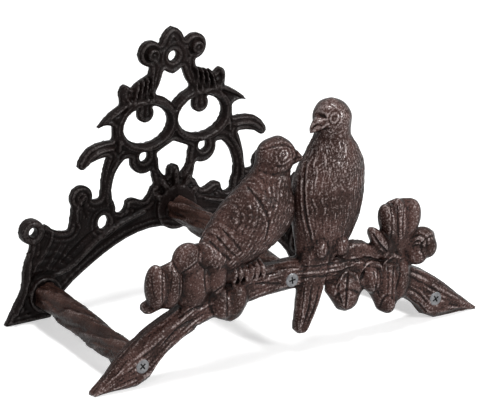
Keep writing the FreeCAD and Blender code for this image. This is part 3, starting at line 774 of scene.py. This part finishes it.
# Pierced plate on the wall
plateSeenPlane = -4.0
plateLook = {
    "voxel": 0.85, "rounds": 5, "reliefReach": 8, "reliefScale": 0.45, "hollowReach": 30, "hollowScale": 0.9,
    "ridgePitch": 3.8, "ridgeHeight": 0.42, "ridgeStart": 1.7, "edgeRound": 1.9, "edgeDrop": 1.5,
    "swirlHeight": 0.4, "unevenHeight": 0.35,
    "stripeHeight": 0.8, "stripePitch": 3.6, "stripeSlant": 0.3, "stripeX": (14, 34), "stripeZ": (140, 158),
}
plateSwirls = [  # centre, radius, pitch
    ((104, 18), 36, 6), ((17.5, 171.3), 10, 3.4), ((72.8, 79.8), 9, 3.4)]
plateLines = [
    ([(47, 125), (46.5, 118), (45.5, 109)], 2.4, -0.8),
    ([(33, 139), (44, 134.5), (55, 128.5)], 2.2, -0.9),
    ([(96, 55), (104, 46), (110, 38)], 3, -0.9),
    ([(90, 52), (97, 42), (104, 33)], 3, 0.9),
    ([(84, 50), (92, 40), (98, 34)], 3, -0.8),
    ([(62, 57), (76, 49), (90, 38)], 2.6, -0.9),
    ([(30, 57), (46, 51), (62, 43), (78, 32)], 2.6, -0.8),
    ([(116, 30), (110, 24), (104, 30)], 3, 0.7),
    ([(70, 66), (71.5, 74), (70, 80)], 2.6, -0.9),
    ([(20, 66), (27, 64), (36, 66), (41, 61)], 2.6, -0.9),
    ([(10, 80), (16, 72), (18, 66)], 2.6, 0.8),
]


# Distance in the wall plane from each point to the plate's nearest side wall
def outlineDistance(points, normals):
    walls = points[(np.abs(normals[:, 1]) < 0.4) & (points[:, 1] > -3.2)]  # upright faces near the wall
    tree = KDTree(len(walls))
    for i, (x, y, z) in enumerate(walls):
        tree.insert((x, 0, z), i)
    tree.balance()
    return np.array([tree.find((x, 0, z))[2] for x, y, z in points])


# 1 between two limits and 0 outside them
def between(value, limits, fade=1.0):
    low, high = limits
    return smoothStep(value, low - fade, low + fade) * (1 - smoothStep(value, high - fade, high + fade))


# Height of the cast lines over the plate's front, and the drop of its rounded edges
def plateRelief(points, normals):
    front = smoothStep(-normals[:, 1], 0.3, 0.8)
    gap = outlineDistance(points, normals)
    pitch = plateLook["ridgePitch"]
    waves = np.cos(2 * math.pi * (gap - plateLook["ridgeStart"]) / pitch)
    height = plateLook["ridgeHeight"] * waves * (1 - smoothStep(gap, 1.6 * pitch, 2.6 * pitch))
    height -= plateLook["edgeDrop"] * np.clip(1 - gap / plateLook["edgeRound"], 0, 1) ** 2
    both = np.stack([np.abs(points[:, 0]), points[:, 2]], axis=1)  # the plate is the same on both sides
    height += drawnLines(both, plateLines)
    height += sum(ringsAround(both, centre, radius, swirlPitch, plateLook["swirlHeight"])
                  for centre, radius, swirlPitch in plateSwirls)
    striped = between(both[:, 1], plateLook["stripeZ"]) * between(both[:, 0], plateLook["stripeX"])
    slanted = both[:, 0] + plateLook["stripeSlant"] * (both[:, 1] - plateLook["stripeZ"][0])
    height += striped * plateLook["stripeHeight"] * np.cos(2 * math.pi * slanted / plateLook["stripePitch"])
    u, v = seenAt(points, plateSeenPlane).T
    uneven = np.sin(u / 5.1) * np.sin(v / 4.3 + 1) + np.sin(u / 2.7 + 2) * np.sin(v / 3.1)
    return front * (height + plateLook["unevenHeight"] * 0.5 * uneven)


def makePlate():
    skin = castSkin("plateCasting", "back_plate", plateLook["voxel"])
    mesh = skin.data
    points, edges = readPoints(mesh), readEdges(mesh)
    points = keptSize(points, edges, plateLook["rounds"])
    writePoints(mesh, points)
    points[:, 1] -= plateRelief(points, readVectors(mesh, "normal"))
    points = keepInside(points)
    writePoints(mesh, points)
    storeRelief(mesh, points, edges, plateLook)
    finishPiece(skin, "back_plate", plateShadedFinish)
    print("plate casting made with", 2 * len(mesh.polygons), "triangles")


makeBranch()
makePlate()


# Bars and screws: a plain mesh object from a geometry node group and its input values
def geometryPiece(name, group, values):
    holder = bpy.data.objects.new(name, bpy.data.meshes.new(name + "Start"))
    bpy.context.scene.collection.objects.link(holder)
    modifier = holder.modifiers.new("shape", "NODES")
    modifier.node_group = group
    sockets = {item.name: item.identifier for item in group.interface.items_tree if item.in_out == "INPUT"}
    for label, value in values.items():
        modifier[sockets[label]] = value
    depsgraph = bpy.context.evaluated_depsgraph_get()
    mesh = bpy.data.meshes.new_from_object(holder.evaluated_get(depsgraph))
    holder.modifiers.clear()
    holder.data = mesh
    mesh.name = name
    return holder


def combined(tree, x, y, z):
    return addNode(tree, "ShaderNodeCombineXYZ", {"X": x, "Y": y, "Z": z}).outputs[0]


def scaledVector(tree, vector, scale):
    node = tree.nodes.new("ShaderNodeVectorMath")
    node.operation = "SCALE"
    feed(tree, node.inputs[0], vector)
    feed(tree, node.inputs["Scale"], scale)
    return node.outputs[0]


# Captures a value on points, and gives the geometry and the captured value
def captured(tree, geometry, value, name):
    node = tree.nodes.new("GeometryNodeCaptureAttribute")
    node.capture_items.new("FLOAT", name)
    feed(tree, node.inputs["Geometry"], geometry)
    feed(tree, node.inputs[name], value)
    return node.outputs["Geometry"], node.outputs[name]


barPlaces = {  # rear end, front end and radius
    "left": ((-104.0, -8.6, 18.3), (-115.5, -132.4, 15.0), 9.0),
    "centre": ((0.0, -8.6, 61.0), (0.0, -132.4, 51.1), 8.3),
    "right": ((104.0, -8.6, 18.3), (115.5, -132.4, 15.0), 9.0),
}
barSeeds = {"left": 0.0, "centre": 3.7, "right": 8.1}
barLook = {  # ridgeDepth and barkDepth in metres
    "ridges": 5.0, "twist": 0.55, "ridgeDepth": 0.0008, "barkDepth": 0.0028, "lengthSteps": 150, "sides": 90,
    "barkSize": 2.6, "barkDetail": 3.0, "barkRoughness": 0.55, "barkStretch": 2.4, "barkMiddle": 0.55,
    "wobble": 9.0, "reliefScale": 900.0,
}


# Round bar with twisted bark ridges between two places
def makeBarkGroup():
    group, given, result = newGroup("barkBar", "GeometryNodeTree", {
        "Start": (0, 0, 0), "End": (0, 0.1, 0), "Radius": 0.009, "Ridges": 5.0, "Twist": 0.6,
        "Ridge Depth": 0.0008, "Bark Depth": 0.0012, "Seed": 0.0, "Finish": None}, {"Geometry": "Geometry"})

    def times(first, second):
        return mathNode(group, "MULTIPLY", first, second)

    def plus(first, second):
        return mathNode(group, "ADD", first, second)

    line = addNode(group, "GeometryNodeCurvePrimitiveLine", {"Start": given["Start"], "End": given["End"]})
    steps = addNode(group, "GeometryNodeResampleCurve", {"Curve": line.outputs["Curve"],
                                                         "Count": barLook["lengthSteps"]})
    share = group.nodes.new("GeometryNodeSplineParameter").outputs["Factor"]
    path, along = captured(group, steps.outputs["Curve"], share, "along")
    circle = addNode(group, "GeometryNodeCurvePrimitiveCircle", {"Resolution": barLook["sides"],
                                                                 "Radius": given["Radius"]})
    rim, around = captured(group, circle.outputs["Curve"], share, "around")
    tube = addNode(group, "GeometryNodeCurveToMesh", {"Curve": path, "Profile Curve": rim, "Fill Caps": True})
    turn = times(plus(around, times(along, given["Twist"])), 2 * math.pi)
    place = combined(group, mathNode(group, "COSINE", turn), mathNode(group, "SINE", turn),
                     plus(times(along, barLook["barkStretch"]), given["Seed"]))
    bark = noiseNode(group, place, barLook["barkSize"], barLook["barkDetail"], barLook["barkRoughness"])
    ridge = mathNode(group, "SINE", plus(times(turn, given["Ridges"]), times(bark, barLook["wobble"])))
    height = plus(times(ridge, given["Ridge Depth"]),
                  times(mathNode(group, "SUBTRACT", bark, barLook["barkMiddle"]), given["Bark Depth"]))
    normal = group.nodes.new("GeometryNodeInputNormal").outputs[0]
    moved = addNode(group, "GeometryNodeSetPosition", {"Geometry": tube.outputs["Mesh"],
                                                       "Offset": scaledVector(group, normal, height)})
    stored = addNode(group, "GeometryNodeStoreNamedAttribute", {
        "Name": "relief", "Value": times(height, barLook["reliefScale"]),
        "Geometry": moved.outputs["Geometry"]})
    realized = addNode(group, "GeometryNodeRealizeInstances", {"Geometry": stored.outputs["Geometry"]})
    painted = addNode(group, "GeometryNodeSetMaterial", {"Geometry": realized.outputs["Geometry"],
                                                         "Material": given["Finish"]})
    feed(group, result["Geometry"], painted.outputs["Geometry"])
    return group


screwLook = {  # in metres, apart from the front plane
    "headRadius": 0.00475, "domeRadius": 0.0043, "domeHeight": 0.00025, "headDepth": 0.0025,
    "shankRadius": 0.0025, "shankTaper": 0.9, "headSides": 48, "shankSides": 32,
    "crossSpan": 0.0050, "crossWidth": 0.0011, "crossDepth": 0.0016,
    "frontLength": 0.030, "rearLength": 0.022, "rearRecess": 0.0006, "frontPlane": -149.0,
}
crossTurns = {"left": 0.65, "centre": 0.12, "right": 0.5}


# Countersunk screw with a cross recess, its head's face at Place and its shank along the turned z
def makeScrewGroup():
    group, given, result = newGroup("crossScrew", "GeometryNodeTree", {
        "Place": (0, 0, 0), "Rotation": (0, 0, 0), "Length": 0.03, "Cross Turn": 0.0,
        "Finish": None, "Recess Shade Finish": None}, {"Geometry": "Geometry"})
    look = screwLook

    def moved(geometry, offset, rotation=None):
        return addNode(group, "GeometryNodeTransform", {"Geometry": geometry, "Translation": offset,
                                                        "Rotation": rotation}).outputs["Geometry"]

    def tapered(top, bottom, depth, sides, offset):
        cone = addNode(group, "GeometryNodeMeshCone", {"Vertices": sides, "Radius Top": top,
                                                       "Radius Bottom": bottom, "Depth": depth})
        return moved(cone.outputs["Mesh"], offset)

    def joined(operation, first, others):
        node = group.nodes.new("GeometryNodeMeshBoolean")
        node.operation = operation
        node.solver = "EXACT"
        feed(group, node.inputs[0], first)
        for other in others:
            feed(group, node.inputs[1], other)
        return node.outputs["Mesh"]

    def painted(geometry, finish):
        return addNode(group, "GeometryNodeSetMaterial", {"Geometry": geometry,
                                                          "Material": finish}).outputs["Geometry"]

    def crossArm(span, width):
        size = (span, width, 2 * look["crossDepth"])
        return addNode(group, "GeometryNodeMeshCube", {"Size": size}).outputs["Mesh"]

    dome = tapered(look["domeRadius"], look["headRadius"], look["domeHeight"], look["headSides"],
                   (0, 0, -look["domeHeight"]))
    head = tapered(look["headRadius"], look["shankRadius"], look["headDepth"], look["headSides"],
                   (0, 0, -look["headDepth"] - look["domeHeight"]))
    down = combined(group, 0.0, 0.0, mathNode(group, "MULTIPLY", given["Length"], -1.0))
    shank = tapered(look["shankRadius"], look["shankRadius"] * look["shankTaper"], given["Length"],
                    look["shankSides"], down)
    body = joined("UNION", None, (dome, head, shank))
    arms = joined("UNION", None, (crossArm(look["crossSpan"], look["crossWidth"]),
                                  crossArm(look["crossWidth"], look["crossSpan"])))
    screw = joined("DIFFERENCE", painted(body, given["Finish"]), (painted(arms, given["Recess Shade Finish"]),))
    turned = moved(screw, (0, 0, 0), combined(group, 0.0, 0.0, given["Cross Turn"]))
    placed = moved(turned, given["Place"], given["Rotation"])
    realized = addNode(group, "GeometryNodeRealizeInstances", {"Geometry": placed})
    feed(group, result["Geometry"], realized.outputs["Geometry"])
    return group


barkGroup = makeBarkGroup()
screwGroup = makeScrewGroup()


def makeBar(side):
    start, end, radius = barPlaces[side]
    piece = geometryPiece("barkBar_" + side, barkGroup, {
        "Start": tuple(toFrame(start)), "End": tuple(toFrame(end)), "Radius": radius / metre,
        "Ridges": barLook["ridges"], "Twist": barLook["twist"], "Ridge Depth": barLook["ridgeDepth"],
        "Bark Depth": barLook["barkDepth"], "Seed": barSeeds[side], "Finish": barFinish})
    finishPiece(piece, "bar_" + side, barFinish)


def makeScrew(side, front):
    if front:
        x, y, z = barPlaces[side][1]
        place = (x, screwLook["frontPlane"], z)
        turn = (math.pi / 2, 0, 0)
        length = screwLook["frontLength"]
    else:
        x, y, z = barPlaces[side][0]
        place = (x, -screwLook["rearRecess"] * metre, z)
        turn = (-math.pi / 2, 0, 0)
        length = screwLook["rearLength"]
    node = ("front_screw_" if front else "rear_screw_") + side
    piece = geometryPiece(("frontScrew_" if front else "rearScrew_") + side, screwGroup, {
        "Place": tuple(toFrame(place)), "Rotation": turn, "Length": length,
        "Cross Turn": crossTurns[side], "Finish": screwFinish, "Recess Shade Finish": recessShadeFinish})
    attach(piece, "root")
    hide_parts(node)


for side in ("left", "centre", "right"):
    makeBar(side)
    makeScrew(side, True)
    makeScrew(side, False)
print("bars and screws made")


# Floor, light and camera
studioLook = {  # in metres
    "floorHalf": 3.0, "floorColour": (0.8, 0.8, 0.8, 1), "floorRoughness": 0.5, "floorSpecular": 0.2,
    "floorGlow": 0.5, "worldLight": 0.15, "worldSeen": 1.0, "lampAim": (0, -0.07, -0.08),
}
softboxes = {  # place and size in metres, power in watts
    "keyBox": ((0.55, -1.3, 0.45), (0.35, 0.35), 15.0),
    "topBox": ((0.1, -0.15, 1.55), (0.4, 0.4), 22.0),
    "sideBox": ((-1.1, -1.0, 0.6), (0.4, 0.6), 5.0),
}
cameraLook = {"azimuth": -33.10, "elevation": 19.05, "distance": 3026.4, "focalPixels": 4537.0,
              "target": (11.6, -69.6, 78.4), "imageWidth": 482, "sensorWidth": 36.0}


# 1 for the rays that show the background: camera, glossy and transmission
def backgroundRay(tree):
    path = tree.nodes.new("ShaderNodeLightPath")
    direct = mathNode(tree, "MAXIMUM", path.outputs["Is Camera Ray"], path.outputs["Is Glossy Ray"])
    return mathNode(tree, "MAXIMUM", direct, path.outputs["Is Transmission Ray"])


def makeFloor():
    half, floorZ = studioLook["floorHalf"], feetHeight / metre
    mesh = bpy.data.meshes.new("studioFloor")
    corners = [(x * half, y * half, floorZ) for x, y in ((-1, -1), (1, -1), (1, 1), (-1, 1))]
    mesh.from_pydata(corners, [], [(0, 1, 2, 3)])
    floor = bpy.data.objects.new("studioFloor", mesh)
    bpy.context.scene.collection.objects.link(floor)
    material, tree, shader = newMaterial("whiteFloor")
    feed(tree, shader["Base Color"], studioLook["floorColour"])
    feed(tree, shader["Roughness"], studioLook["floorRoughness"])
    feed(tree, shader["Specular IOR Level"], studioLook["floorSpecular"])
    feed(tree, shader["Emission Color"], (1, 1, 1, 1))
    glow = mathNode(tree, "MULTIPLY", backgroundRay(tree), studioLook["floorGlow"])
    feed(tree, shader["Emission Strength"], glow)
    mesh.materials.append(material)


def makeWorld():
    world = bpy.data.worlds.new("studioWorld")
    bpy.context.scene.world = world
    world.use_nodes = True
    tree = world.node_tree
    light = tree.nodes["Background"]
    feed(tree, light.inputs["Color"], (1, 1, 1, 1))
    feed(tree, light.inputs["Strength"], studioLook["worldLight"])
    seen = addNode(tree, "ShaderNodeBackground", {"Color": (1, 1, 1, 1), "Strength": studioLook["worldSeen"]})
    mix = addNode(tree, "ShaderNodeMixShader", {"Fac": backgroundRay(tree), 1: light.outputs["Background"],
                                                2: seen.outputs["Background"]})
    feed(tree, tree.nodes["World Output"].inputs["Surface"], mix.outputs["Shader"])


def addSoftbox(name, place, size, power):
    data = bpy.data.lights.new(name, "AREA")
    data.shape = "RECTANGLE"
    data.size, data.size_y = size
    data.energy = power
    lamp = bpy.data.objects.new(name, data)
    lamp.location = place
    lamp.rotation_euler = (Vector(studioLook["lampAim"]) - Vector(place)).to_track_quat("-Z", "Y").to_euler()
    bpy.context.scene.collection.objects.link(lamp)


def makeCamera():
    azimuth, elevation = math.radians(cameraLook["azimuth"]), math.radians(cameraLook["elevation"])
    back = Vector((math.sin(azimuth) * math.cos(elevation), -math.cos(azimuth) * math.cos(elevation),
                   math.sin(elevation)))
    data = bpy.data.cameras.new("photoCamera")
    data.sensor_width = cameraLook["sensorWidth"]
    data.lens = cameraLook["focalPixels"] * data.sensor_width / cameraLook["imageWidth"]
    data.clip_end = 100.0
    camera = bpy.data.objects.new("photoCamera", data)
    camera.location = Vector(toFrame(cameraLook["target"])) + back * cameraLook["distance"] / metre
    camera.rotation_euler = (-back).to_track_quat("-Z", "Y").to_euler()
    bpy.context.scene.collection.objects.link(camera)
    bpy.context.scene.camera = camera


makeFloor()
makeWorld()
for name, (place, size, power) in softboxes.items():
    addSoftbox(name, place, size, power)
makeCamera()
bpy.context.scene.view_settings.view_transform = "Standard"
print("floor, light and camera made")
